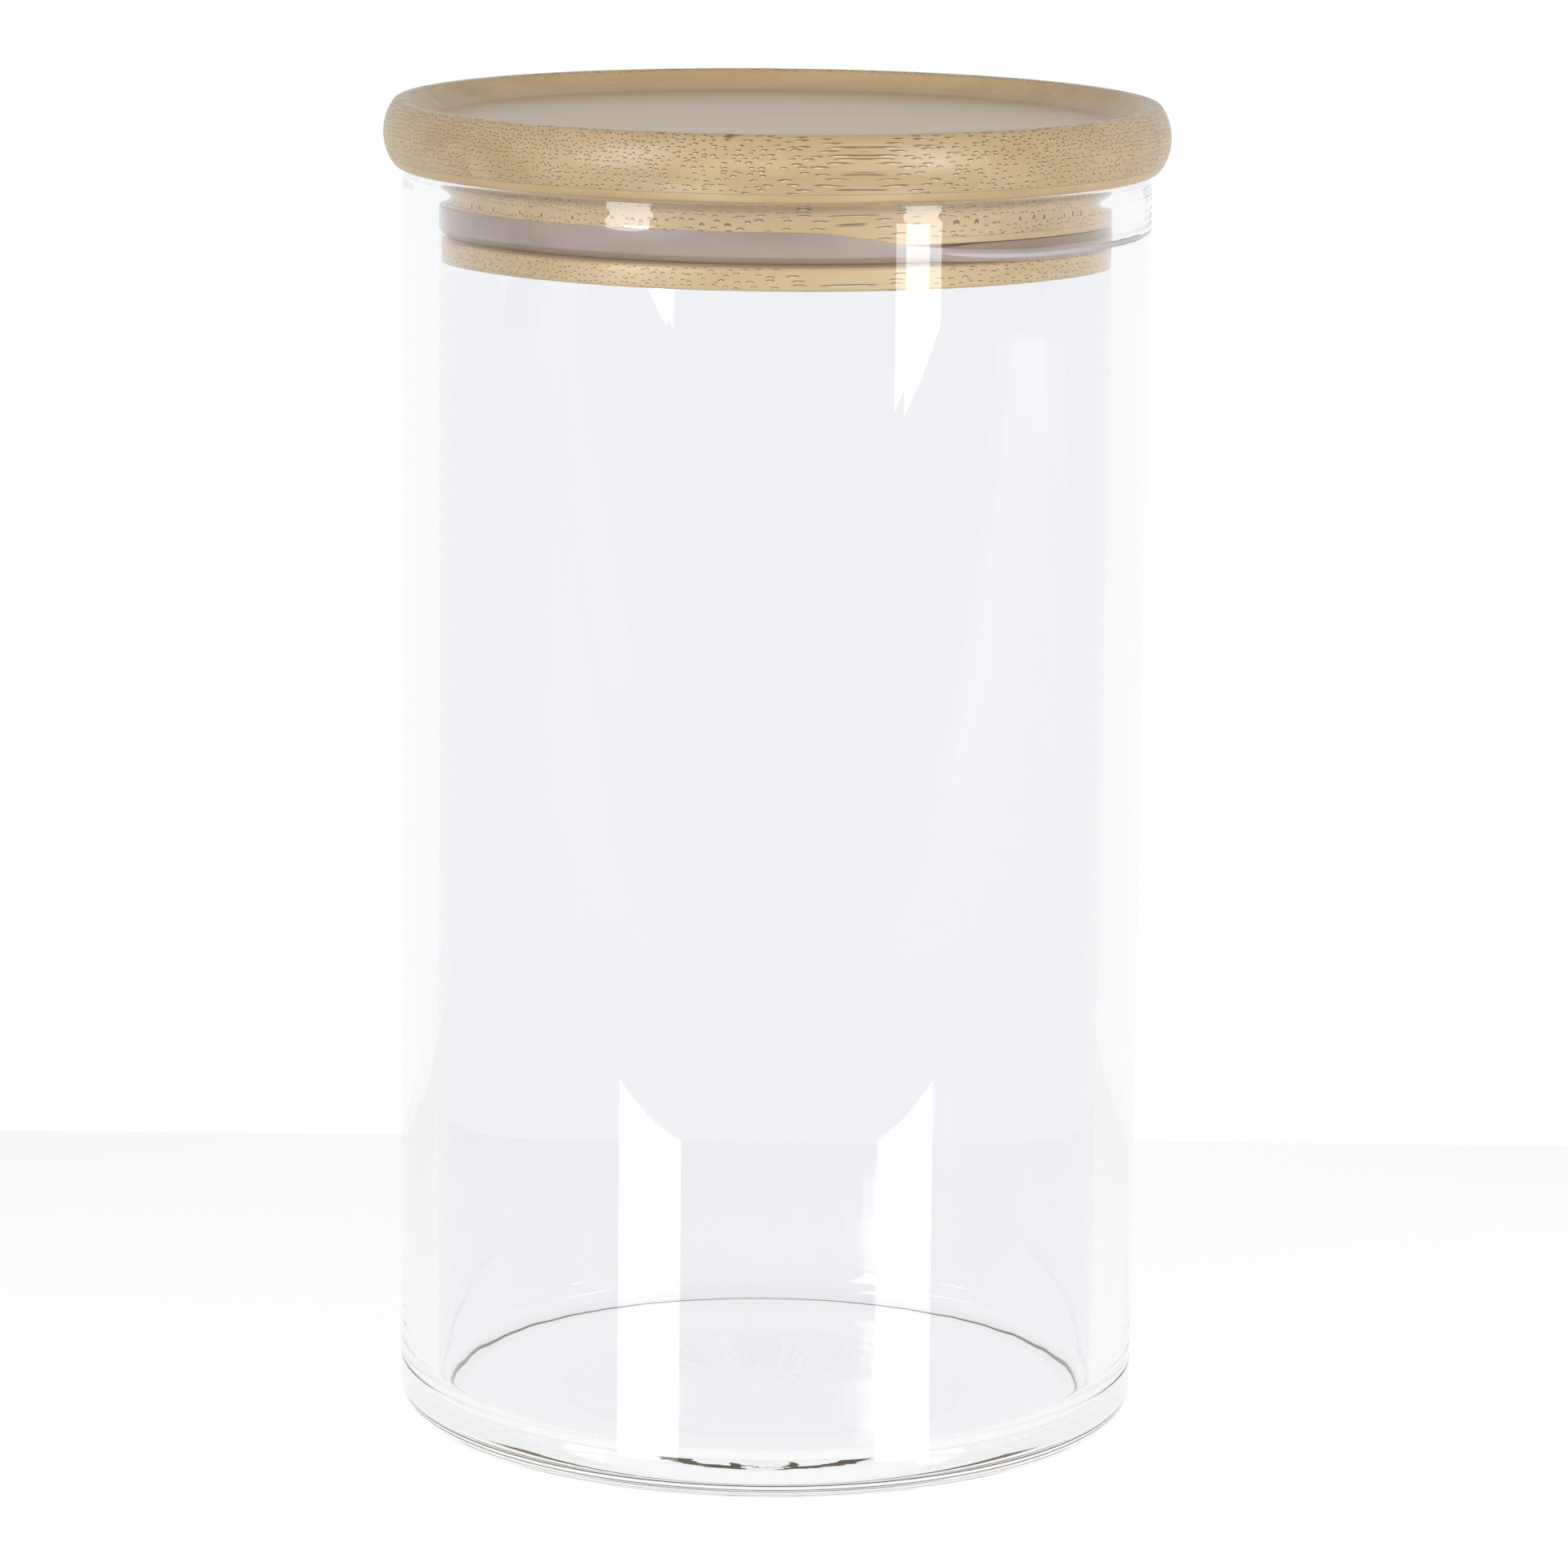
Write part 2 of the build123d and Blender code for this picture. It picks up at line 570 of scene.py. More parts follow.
        wander = graph.noise(graph.scaled(grain, self.wander_density, own), detail=1.0, roughness=0.5)
        fibres = graph.vector(
            "MULTIPLY_ADD",
            wander.outputs["Color"],
            (0.0, self.wander, self.wander),
            graph.scaled(grain, (1, 1, 1), (0, own[1], -self.wander / 2)),
        )
        _, fibre_across, fibre_height = graph.axes(fibres.outputs[0])
        cut = graph.add("ShaderNodeCombineXYZ")
        graph.feed(cut.inputs["X"], fibre_across)
        graph.feed(cut.inputs["Y"], fibre_height)
        layers = [self.bundles(graph, cut.outputs["Vector"], crowded) for crowded in (False, True)]
        shown = self.shown(graph, place, height)
        either = [graph.math("MAXIMUM", *pair) for pair in zip(*layers)]
        pit, dark, core = (graph.math("MULTIPLY", layer, shown) for layer in either)

        streaks = graph.noise(graph.scaled(grain, self.streak_density, own), detail=3.0, roughness=0.6)
        streak = streaks.outputs["Fac"]
        patches = graph.noise(graph.scaled(grain, self.patch_density, own), detail=2.0, roughness=0.5)
        depth = graph.math("MULTIPLY_ADD", patches.outputs["Fac"], self.patch_weight, self.patch_offset)
        depth = graph.math("MULTIPLY_ADD", streak, self.streak_weight, depth)
        colour = graph.mix(graph.ease(depth, *self.deep_range), self.pale, self.deep)
        # Painted shade: darker bands of the wood where shade falls.
        for shade in self.painted_shades:
            begun = graph.ease(height, shade.begin, shade.full)
            unended = graph.ease(height, shade.end, shade.end - self.shade_fade)
            shaded = graph.math("MULTIPLY", begun, unended)
            colour = graph.mix(graph.math("MULTIPLY", shaded, shade.strength), colour, self.shade)
        # Dark rim of the bundles, with painted shade on their upper side.
        colour = graph.mix(graph.math("MULTIPLY", dark, self.pit_strength), colour, self.bundle)
        # Pale core of the bundles, with a painted highlight low in each pit.
        colour = graph.mix(graph.math("MULTIPLY", core, self.core_strength), colour, self.sap_and_highlight)
        to_fleck = graph.length(graph.scaled(place, (1, 1, 1), tuple(-c for c in self.fleck)))
        colour = graph.mix(graph.ease(to_fleck, *self.fleck_radii), colour, self.bundle)
        seam = self.seams(graph, across, height)

        relief = graph.math("MULTIPLY_ADD", streak, self.streak_height, graph.math("MULTIPLY", dark, -1.0))
        smoothest = self.roughness - self.streak_roughness / 2
        rough = graph.math("MULTIPLY_ADD", streak, self.streak_roughness, smoothest)
        lacquer = graph.shader("ShaderNodeBsdfPrincipled", {
            "Base Color": graph.mix(seam, colour, self.glue),
            "Roughness": graph.math("MULTIPLY_ADD", pit, self.pit_roughness, rough),
            "Specular IOR Level": self.specular,
            "Coat Weight": self.coat,
            "Coat Roughness": self.coat_roughness,
            "Normal": graph.bump(graph.math("SUBTRACT", relief, seam), self.pit_depth),
        })
        graph.show(lacquer)
        return material


def arc(centre: Point, radius: float, start: float, end: float, steps: int) -> list[Point]:
    """Gives the points of a round stretch of a section.

    Args:
        centre: Centre of the arc.
        radius: Radius of the arc.
        start: Angle of the first point in degrees, from the outward direction.
        end: Angle of the last point.
        steps: Number of straight steps.

    Returns:
        Points from start to end, both included.
    """
    angles = [math.radians(start + (end - start) * i / steps) for i in range(steps + 1)]
    return [(centre[0] + radius * math.cos(a), centre[1] + radius * math.sin(a)) for a in angles]


def run(start: Point, end: Point, steps: int) -> list[Point]:
    """Gives evenly spaced points of a straight stretch.

    Args:
        start: First point.
        end: Last point.
        steps: Number of steps.

    Returns:
        Points from start to end, both included.
    """
    return [(start[0] + (end[0] - start[0]) * i / steps, start[1] + (end[1] - start[1]) * i / steps)
            for i in range(steps + 1)]


def eased(start: Point, corner: Point, end: Point, steps: int = 5) -> list[Point]:
    """Gives a soft corner from start to end that bends towards the sharp corner.

    Args:
        start: Point where the softening begins.
        corner: Where the sharp corner would be.
        end: Point where the softening ends.
        steps: Number of steps.

    Returns:
        Points from start to end, both included.
    """
    points = []
    for i in range(steps + 1):
        t = i / steps
        weights = ((1 - t) ** 2, 2 * t * (1 - t), t**2)
        points.append(tuple(sum(w * p[k] for w, p in zip(weights, (start, corner, end))) for k in range(2)))
    return points


def joined(*stretches: Sequence[Point]) -> list[Point]:
    """Joins stretches of a section and drops points that repeat.

    Args:
        stretches: Lists of points, in order.

    Returns:
        One list of points.
    """
    section: list[Point] = []
    for point in (p for stretch in stretches for p in stretch):
        if not section or math.dist(section[-1], point) > SAME_PLACE:
            section.append(point)
    return section


def spun(section: Sequence[Point], turns: int, shift: Shift | None = None) -> bmesh.types.BMesh:
    """Spins a section about the jar's axis into a closed mesh, in metres.

    Args:
        section: Points from one axis point to another.
        turns: Number of steps round the axis.
        shift: Gives the change of a point's radius at each angle.

    Returns:
        The mesh.
    """
    mesh = bmesh.new()
    angles = np.arange(turns) * math.tau / turns
    rings = []
    for radius, height in section:
        if radius < ON_AXIS:
            rings.append([mesh.verts.new((0, 0, height * MM))] * turns)
            continue
        radii = np.full(turns, radius)
        if shift is not None:
            radii = radii + shift((radius, height), angles)
        rings.append([mesh.verts.new((r * math.cos(a) * MM, r * math.sin(a) * MM, height * MM))
                      for r, a in zip(radii, angles)])
    for low, high in zip(rings, rings[1:]):
        for i in range(turns):
            j = (i + 1) % turns
            corners = dict.fromkeys((low[i], low[j], high[j], high[i]))
            mesh.faces.new(list(corners))
    bmesh.ops.recalc_face_normals(mesh, faces=mesh.faces)
    return mesh


def new_piece(name: str, mesh: bmesh.types.BMesh, sharp_angle: float | None) -> bpy.types.Object:
    """Turns a mesh into a smooth-shaded object of the scene.

    Args:
        name: Name of the piece.
        mesh: Its mesh, which is freed.
        sharp_angle: Angle in degrees past which an edge stays sharp, or None.

    Returns:
        The object.
    """
    data = bpy.data.meshes.new(name)
    mesh.to_mesh(data)
    mesh.free()
    data.shade_smooth()
    if sharp_angle is not None:
        data.set_sharp_from_angle(angle=math.radians(sharp_angle))
    piece = bpy.data.objects.new(name, data)
    bpy.context.scene.collection.objects.link(piece)
    return piece


def seat(piece: bpy.types.Object, body: Body, node: str) -> None:
    """Makes a piece ride on a body in place of a CAD node.

    Args:
        piece: The piece.
        body: Body that carries it.
        node: CAD node that it stands for.
    """
    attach(piece, body.value)
    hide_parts(node)


@dataclass
class GlassJar:
    """Straight-sided jar with a rim that draws in slightly, a rounded foot and a shallow push-up.

    Rings at the guard's distance keep the shading of a straight stretch clear of the corner beside it.
    """

    radius: float = 50.0
    height: float = 170.4
    wall: float = 5.2
    base_thickness: float = 4.2
    foot_corner: float = 4.5
    floor_corner: float = 4.5
    rim_rounding: float = 0.6
    rim_draw_in: float = 0.3
    draw_in_height: float = 2.0
    straight_rim: float = 0.9
    foot_inner_radius: float = 28.0
    push_up: float = 1.1
    ring_mark_radius: float = 4.8
    ring_mark_width: float = 0.6
    ring_mark_depth: float = 0.03
    ripple: float = 0.02
    ripple_waves: tuple[Point, ...] = ((9, 0.4), (17, 1.9), (31, 4.0), (53, 2.7))
    guard: float = 0.4
    straight_margin: float = 3.0
    turns: int = 384
    underside_steps: int = 60
    foot_steps: int = 20
    wall_steps: int = 24
    draw_in_steps: int = 16
    rim_steps: int = 14
    floor_corner_steps: int = 24
    floor_steps: int = 12
    finish: GlassFinish = field(default_factory=GlassFinish)

    def __post_init__(self) -> None:
        """Works out the bore's radius."""
        self.bore = self.radius - self.wall

    def underside(self, radius: float) -> float:
        """Gives the base's underside, with the push-up's wave and the small ring mark.

        Args:
            radius: Distance from the jar's axis.

        Returns:
            Height of the underside there.
        """
        if radius >= self.foot_inner_radius:
            return 0.0
        wave = self.push_up / 2 * (1 + math.cos(math.pi * radius / self.foot_inner_radius))
        from_mark = (radius - self.ring_mark_radius) / self.ring_mark_width
        return wave + self.ring_mark_depth * math.exp(-(from_mark**2))

    def shoulder(self) -> list[Point]:
        """Gives the smooth wave in which the outside draws in below the rim.

        Returns:
            Points from the straight wall up to the rim.
        """
        start = self.height - self.straight_rim - self.draw_in_height
        points = []
        for i in range(self.draw_in_steps + 1):
            drawn = (1 - math.cos(math.pi * i / self.draw_in_steps)) / 2
            height = start + self.draw_in_height * i / self.draw_in_steps
            points.append((self.radius - self.rim_draw_in * drawn, height))
        return points

    def section(self) -> list[Point]:
        """Gives the jar's section from the underside's middle round to the floor's middle.

        Returns:
            Points of the section.
        """
        guard, margin, floor = self.guard, self.straight_margin, self.base_thickness
        rim = self.height - self.rim_rounding
        rim_radius = self.radius - self.rim_draw_in
        shoulder = self.shoulder()
        draw_in = shoulder[0][1]
        foot_centre = (self.radius - self.foot_corner, self.foot_corner)
        floor_centre = (self.bore - self.floor_corner, floor + self.floor_corner)
        hollow = run((0, 0), (self.foot_inner_radius, 0), self.underside_steps)
        return joined(
            [(r, self.underside(r)) for r, _ in hollow],
            [(self.foot_inner_radius + guard, 0), (foot_centre[0] - guard, 0)],
            arc(foot_centre, self.foot_corner, -90, 0, self.foot_steps),
            [(self.radius, self.foot_corner + guard)],
            run((self.radius, self.foot_corner + margin), (self.radius, draw_in - margin), self.wall_steps),
            [(self.radius, draw_in - guard)],
            shoulder,
            arc((rim_radius - self.rim_rounding, rim), self.rim_rounding, 0, 90, self.rim_steps),
            arc((self.bore + self.rim_rounding, rim), self.rim_rounding, 90, 180, self.rim_steps),
            [(self.bore, rim - guard)],
            run((self.bore, rim - margin), (self.bore, floor_centre[1] + margin), self.wall_steps),
            [(self.bore, floor_centre[1] + guard)],
            arc(floor_centre, self.floor_corner, 0, -90, self.floor_corner_steps),
            [(floor_centre[0] - guard, floor)],
            run((floor_centre[0] - margin, floor), (0, floor), self.floor_steps),
        )

    def draw_ripple(self, point: Point, angles: np.ndarray) -> np.ndarray:
        """Gives the bore's faint ripple, which runs up the wall as in drawn tube.

        Args:
            point: Radius and height on the section.
            angles: Angles round the jar.

        Returns:
            Change of radius at each angle.
        """
        if abs(point[0] - self.bore) > SAME_PLACE:
            return np.zeros_like(angles)
        waves = self.ripple_waves
        return sum(self.ripple / count**0.5 * np.cos(count * angles + phase) for count, phase in waves)

    def build(self) -> list[bpy.types.Object]:
        """Spins and dresses the jar.

        Returns:
            The jar, alone in a list.
        """
        jar = new_piece("clear_jar", spun(self.section(), self.turns, self.draw_ripple), None)
        jar.data.materials.append(self.finish.material())
        seat(jar, Body.JAR, "glass_jar")
        return [jar]


@dataclass
class BambooLid:
    """Turned lid of two glued boards, each ripped into strips along the grain.

    The last of the cap's glue lines doesn't show, so the strips beside it share a seed. The land line is a
    level line on the plug's upper land, and the wood between it and the groove is bare.
    """

    rim_height: float = 170.4
    thickness: float = 20.4
    flange_thickness: float = 8.8
    flange_radius: float = 52.4
    edge_radius: float = 7.0
    joint_above_rim: float = 1.3
    joint_inset: float = 0.3
    panel_radius: float = 45.5
    panel_depth: float = 2.8
    panel_inset: float = 0.4
    crest_width: float = 1.5
    crest_easing: float = 0.55
    lip_easing: float = 0.5
    plug_radius: float = 44.6
    plug_easing: float = 0.5
    land_easing: float = 0.15
    land_bevel: float = 0.65
    lower_land: float = 2.7
    groove_height: float = 3.1
    groove_depth: float = 3.0
    grain_angle: float = 11.35
    strip_width: float = 24.2
    front_glue_line: float = -49.5
    cap_glue_lines: int = 5
    plug_glue_lines: int = 3
    seam_strengths: tuple[float, ...] = (0.08, 0.5, 0.4, 0.4, 0.0)
    joint_strength: float = 0.4
    land_line: float = 0.87
    fleck: Triple = (-6.0, -50.3, 178.9)
    last_cap_seed: int = 5
    plug_seed: int = 10
    crowding_margins: Point = (0.3, 2.2)
    crest_pit_fade: float = 0.4
    plug_pit_fade: Point = (0.4, 0.1)
    bare_below_rim: float = 0.3
    # Painted light: the plug's wood is a lighter, warmer copy of the cap's colours, to make up for the
    # shade under the flange and behind the glass.
    lit_plug_pale: Colour = (0.80, 0.585, 0.30)
    lit_plug_deep: Colour = (0.63, 0.435, 0.205)
    sharp_angle: float = 32.0
    cut_tolerance: float = 1e-9
    turns: int = 480
    edge_steps: int = 30
    cove_steps: int = 18
    panel_steps: int = 4
    lip_steps: int = 6

    def __post_init__(self) -> None:
        """Works out the heights and radii that follow from the sizes."""
        half_flange = self.flange_thickness / 2
        self.top = self.rim_height + self.flange_thickness
        self.plug_bottom = self.top - self.thickness
        self.groove_bottom = self.plug_bottom + self.lower_land
        self.groove_top = self.groove_bottom + self.groove_height
        self.joint_height = self.rim_height + self.joint_above_rim
        self.edge_centre = (self.flange_radius - self.edge_radius, self.rim_height + half_flange)
        self.edge_angle = math.degrees(math.asin(half_flange / self.edge_radius))
        joint_drop = self.edge_centre[1] - self.joint_height
        self.joint_angle = -math.degrees(math.asin(joint_drop / self.edge_radius))
        self.edge_end = self.edge_centre[0] + self.edge_radius * math.cos(math.radians(self.edge_angle))
        self.crest_start = self.edge_end - self.crest_width

    def cap_section(self) -> list[Point]:
        """Gives the cap board's section: bullnose, crest, cove and sunk panel.

        Returns:
            Points of the section.
        """
        ease, crest = self.crest_easing, self.crest_start
        cove_width = crest - self.panel_radius
        cove_radius = (cove_width**2 + self.panel_depth**2) / (2 * self.panel_depth)
        cove_centre = (self.panel_radius, self.top - self.panel_depth + cove_radius)
        cove_angle = math.degrees(math.atan2(self.top - cove_centre[1], cove_width))
        cove_start = cove_angle - math.degrees(ease / cove_radius)
        edge_stop = self.edge_angle - math.degrees(ease / self.edge_radius)
        edge = arc(self.edge_centre, self.edge_radius, self.joint_angle, edge_stop, self.edge_steps)
        cove = arc(cove_centre, cove_radius, cove_start, -90, self.cove_steps)
        panel = cove[-1][1]
        return joined(
            [(0, self.joint_height), (edge[0][0] - self.joint_inset, self.joint_height)],
            edge,
            eased(edge[-1], (self.edge_end, self.top), (self.edge_end - ease, self.top)),
            eased((crest + ease, self.top), (crest, self.top), cove[0]),
            cove,
            run((self.panel_radius - self.panel_inset, panel), (0, panel), self.panel_steps),
        )

    def plug_section(self) -> list[Point]:
        """Gives the plug board's section: lower land, seal groove, upper land and the flange's lip.

        Returns:
            Points of the section.
        """
        radius, small, bevel = self.plug_radius, self.land_easing, self.land_bevel
        bottom, low, high = self.plug_bottom, self.groove_bottom, self.groove_top
        toe = self.plug_easing
        floor = radius - self.groove_depth
        lip = (self.edge_end, self.rim_height)
        edge_start = -self.edge_angle + math.degrees(self.lip_easing / self.edge_radius)
        edge = arc(self.edge_centre, self.edge_radius, edge_start, self.joint_angle, self.lip_steps)
        return joined(
            [(0, bottom)],
            eased((radius - toe, bottom), (radius, bottom), (radius, bottom + toe)),
            eased((radius, low - small), (radius, low), (radius - small, low + small)),
            [(radius - bevel, low + bevel), (floor, low + bevel), (floor, high)],
            eased((radius - small, high), (radius, high), (radius, high + small)),
            [(radius, self.rim_height)],
            eased((lip[0] - self.lip_easing, lip[1]), lip, edge[0]),
            edge,
            [(edge[-1][0] - self.joint_inset, self.joint_height), (0, self.joint_height)],
        )

    def glue_lines(self, board: Board) -> list[float]:
        """Gives a board's glue lines as places across the grain, from the front."""
        first, count = (0, self.cap_glue_lines) if board is Board.CAP else (1, self.plug_glue_lines)
        return [self.front_glue_line + self.strip_width * i for i in range(first, first + count)]

    def ripped(self, whole: bmesh.types.BMesh, start: float | None, end: float | None) -> bmesh.types.BMesh:
        """Cuts one strip out of a spun board and closes the cuts.

        Args:
            whole: The board's mesh, which is kept.
            start: Glue line in front of the strip, or None at the board's front.
            end: Glue line behind the strip, or None at the board's back.

        Returns:
            The strip's mesh.
        """
        strip = whole.copy()
        grain = math.radians(self.grain_angle)
        across = Vector((-math.sin(grain), math.cos(grain), 0))
        for line, outward in ((start, -across), (end, across)):
            if line is None:
                continue
            cut = bmesh.ops.bisect_plane(
                strip,
                geom=[*strip.verts, *strip.edges, *strip.faces],
                dist=self.cut_tolerance,
                plane_co=across * line * MM,
                plane_no=outward,
                clear_outer=True,
            )
            edges = [item for item in cut["geom_cut"] if isinstance(item, bmesh.types.BMEdge)]
            bmesh.ops.triangle_fill(strip, edges=edges, use_beauty=True, normal=outward)
        bmesh.ops.recalc_face_normals(strip, faces=strip.faces)
        return strip

    def plug_painted_shades(self) -> tuple[PaintedShade, ...]:
        """Gives the plug's bands of painted shade, from the flange down.

        Returns:
            Painted shade under the flange, on its lip, and above the bevel in the groove, where shade
            falls.
        """
        rim, groove = self.rim_height, self.groove_bottom
        return (
            PaintedShade(begin=rim - 2.4, full=rim - 0.8, end=rim + 0.1, strength=0.55),
            PaintedShade(begin=rim - 0.1, full=rim + 0.1, end=self.joint_height + 0.3, strength=0.22),
            PaintedShade(begin=groove + 0.15, full=groove + 0.45, end=groove + 0.95, strength=0.9),
        )

    def finish(self, board: Board, number: int) -> BambooFinish:
        """Gives the finish of one strip.

        Args:
            board: Board that the strip is in.
            number: The strip's number from the front.

        Returns:
            The finish.
        """
        joint = (self.joint_height, self.joint_strength)
        look = {
            "name": f"{board.value}_{number}",
            "grain_angle": self.grain_angle,
            "glue_lines": tuple(zip(self.glue_lines(board), self.seam_strengths)),
        }
        if board is Board.CAP:
            low_margin, high_margin = self.crowding_margins
            crest, fade = self.crest_start, self.crest_pit_fade
            return BambooFinish(
                seed=min(number, self.last_cap_seed),
                level_lines=(joint,),
                crowded_heights=(self.joint_height + low_margin, self.top - high_margin),
                pitted_radii=(crest - fade, crest + fade),
                fleck=self.fleck,
                **look,
            )
        land_line = self.groove_top + self.land_line
        bare_lip = (self.rim_height - self.bare_below_rim, self.joint_height)
        above_the_lid = (self.top, self.top + 1)
        smooth, pitted = self.plug_pit_fade
        return BambooFinish(
            seed=self.plug_seed + number,
            level_lines=(joint, (land_line, self.joint_strength)),
            crowded_heights=above_the_lid,
            pitted_radii=(self.plug_radius - smooth, self.plug_radius - pitted),
            bare_heights=((self.groove_top, land_line), bare_lip),
            painted_shades=self.plug_painted_shades(),
            # Painted light: the lighter copy of the cap's colours.
            pale=self.lit_plug_pale,
            deep=self.lit_plug_deep,
            **look,
        )

    def build(self) -> list[bpy.types.Object]:
        """Turns both boards, rips them and dresses each strip.

        Returns:
            The strips of the cap and then those of the plug.
        """
        strips = []
        for board, section in ((Board.CAP, self.cap_section()), (Board.PLUG, self.plug_section())):
            whole = spun(section, self.turns)
            lines = self.glue_lines(board)
            for number, (start, end) in enumerate(zip([None, *lines], [*lines, None]), start=1):
                mesh = self.ripped(whole, start, end)
                strip = new_piece(f"lid_{board.value}_{number}", mesh, self.sharp_angle)
                strip.data.materials.append(self.finish(board, number).material())
                seat(strip, Body.LID, f"{board.value}_strip_{number}")
                strips.append(strip)
            whole.free()
        return strips


@dataclass
class LipSeal:
    """Silicone ring in the plug's groove: pressed up on one side and hanging on the other.

    Heights are above the groove's lower side. Each place on the lip is degrees from the front, positive to
    the right, with the lip's top and bottom there and its slackness from 0 to 1. Points of the arches are a
    radius and a height from the top of the arch, and points of the slack rise a height from the lip's top.
    """

    groove_bottom: float = 161.5
    inner_radius: float = 41.75
    plug_radius: float = 44.6
    bore_radius: float = 44.8
    back_width: float = 1.0
    back_height: float = 2.4
    land_bevel: float = 0.65
    bevel_gap: float = 0.05
    groove_height: float = 3.1
    pressed_roof_gap: float = 0.06
    slack_roof_gap: float = 0.1
    least_rise: float = 0.15
    contact_start: float = 2.0
    least_contact: float = 0.5
    film: float = 0.04
    clearance: float = 0.03
    wetting: float = 0.065
    pressed_arch: tuple[Point, ...] = ((43.4, -0.5), (44.0, -0.15), (44.4, 0.0))
    slack_arch: tuple[Point, ...] = ((43.2, -0.3), (43.8, -0.05), (44.2, 0.0), (44.38, -0.06))
    slack_rise: tuple[Point, ...] = ((44.46, 0.3), (44.5, 0.2))
    knee: Point = (44.5, 1.45)
    heel_radii: Point = (44.3, 44.2)
    toe_radii: Point = (43.95, 43.96)
    sole_radius: float = 42.6
    sharp_angle: float = 60.0
    turns: int = 288
    lip_places: tuple[tuple[float, float, float, float], ...] = (
        (-180, 4.85, 1.0, 0),
        (3, 4.85, 1.0, 0),
        (9, 4.6, 0.95, 0),
        (16, 3.8, 0.9, 0),
        (19, 3.3, 0.86, 0),
        (24, 2.8, 0.8, 0.2),
        (29, 2.4, 0.7, 0.7),
        (35, 2.05, 0.58, 1),
        (44, 1.7, 0.25, 1),
        (54, 1.75, 0.1, 1),
        (65, 1.8, 0.1, 1),
        (86, 1.7, 0.1, 1),
        (125, 1.7, 0.1, 1),
        (150, 2.2, 0.5, 1),
        (160, 2.75, 0.75, 0),
        (176, 4.85, 1.0, 0),
        (180, 4.85, 1.0, 0),
    )
    finish: SiliconeFinish = field(default_factory=SiliconeFinish)

    def lip(self, azimuth: float) -> tuple[float, ...]:
        """Gives the lip's top, bottom and slackness at degrees from the front."""
        degrees, *measures = zip(*self.lip_places)
        return tuple(float(np.interp(azimuth, degrees, measure)) for measure in measures)

    def section(self, azimuth: float) -> np.ndarray:
        """Gives the ring's section at an angle, blended between the pressed and the slack form.

        Args:
            azimuth: Degrees from the front, positive to the right.

        Returns:
            Radii and heights of the section's points, from the foot of the back band round.
        """
        top, bottom, slack = self.lip(azimuth)
        back = self.inner_radius + self.back_width
        face = self.bore_radius - self.clearance
        edge = self.plug_radius + self.film
        low = self.land_bevel + self.bevel_gap
        roof = min(self.groove_height - self.pressed_roof_gap, top - self.least_rise)
        slack_roof = self.groove_height - self.slack_roof_gap
        touch = min(self.contact_start, top - self.least_contact)
        band = [(self.inner_radius, low), (self.inner_radius, self.back_height), (back, self.back_height)]
        tip = [(edge + 0.07, top + 0.05), (face - 0.03, top + 0.02), (face, top - 0.12)]
        pressed = [
            *((radius, roof + height) for radius, height in self.pressed_arch),
            (edge - 0.01, roof), (edge, top - 0.07), (edge + 0.02, top),
            *tip,
            (face, (top + touch) / 2), (face, touch), self.knee,
            (self.heel_radii[0], bottom + 0.1), (self.heel_radii[1], bottom),
            (self.toe_radii[0], low + 0.02), (self.sole_radius, low),
        ]
        slacked = [
            *((radius, slack_roof + height) for radius, height in self.slack_arch),
            *((radius, top + height) for radius, height in self.slack_rise),
            *tip,
            (face + self.wetting, (top + bottom) / 2), (face, bottom + 0.25), (face - 0.05, bottom + 0.05),
            (edge, bottom), (edge - 0.02, bottom + 0.03),
            (self.toe_radii[1], low + 0.02), (self.sole_radius, low),
        ]
        return np.vstack([band, np.array(pressed) * (1 - slack) + np.array(slacked) * slack])

    def build(self) -> list[bpy.types.Object]:
        """Sweeps the changing section round the groove and dresses it.

        Returns:
            The ring, alone in a list.
        """
        mesh = bmesh.new()
        rings = []
        for i in range(self.turns):
            azimuth = -180 + 360 * i / self.turns
            angle = math.radians(azimuth - 90)
            outward = (math.cos(angle), math.sin(angle))
            rings.append([
                mesh.verts.new((r * outward[0] * MM, r * outward[1] * MM, (self.groove_bottom + z) * MM))
                for r, z in self.section(azimuth)
            ])
        for first, second in zip(rings, [*rings[1:], rings[0]]):
            for i in range(len(first)):
                j = (i + 1) % len(first)
                mesh.faces.new((first[i], first[j], second[j], second[i]))
        bmesh.ops.recalc_face_normals(mesh, faces=mesh.faces)
        seal = new_piece("lip_seal", mesh, self.sharp_angle)
        seal.data.materials.append(self.finish.material())
        seat(seal, Body.SEAL, "silicone_seal")
        return [seal]


@dataclass(frozen=True)
class Panel:
    """An upright soft panel: its sides in degrees from the front, its lower edge and its turn to the jar.

    A turn of 1 faces the jar and a turn of 0 faces straight back.
    """

    first: float
    last: float
    low: float
    turned: float


